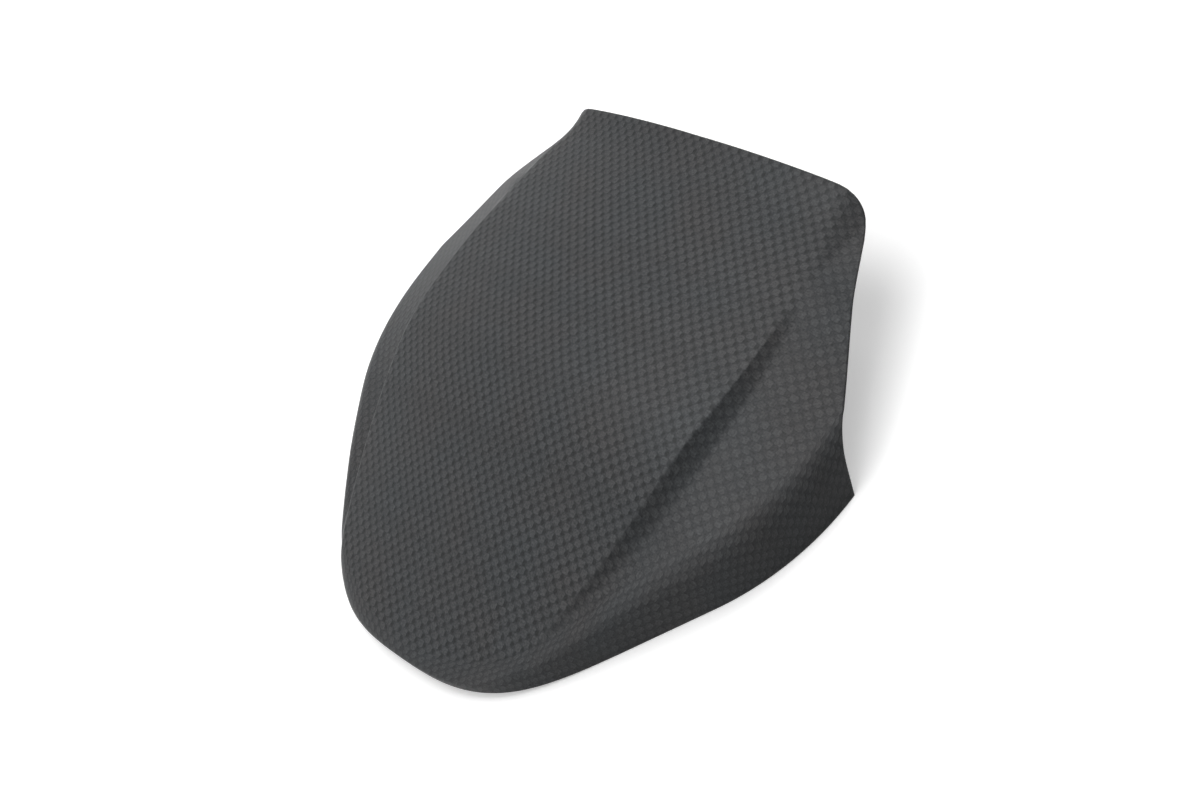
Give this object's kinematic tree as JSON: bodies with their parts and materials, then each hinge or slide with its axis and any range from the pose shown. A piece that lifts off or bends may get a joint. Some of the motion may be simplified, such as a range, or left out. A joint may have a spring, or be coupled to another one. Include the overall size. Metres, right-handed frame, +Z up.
{
  "type": "headlight cover",
  "caption": "Moulded carbon laminate cover that fits over a motorbike's headlight, with a shield shaped centre panel, side grooves and a turned-down rim.",
  "frame": {"origin": "middle of the bounding box, on the ground plane that the rim stands on", "axes": "+Z up, away from the rim; +X across the cover, from wing tip to wing tip; -Y towards the rounded nose, +Y towards the wide rear edge"},
  "size_m": [0.189, 0.167, 0.0378],
  "materials": {
    "laminate": "matt plain-weave carbon cloth under a satin clear coat"
  },
  "bodies": {
    "root": {"cover_shell": "laminate"}
  },
  "joints": []
}
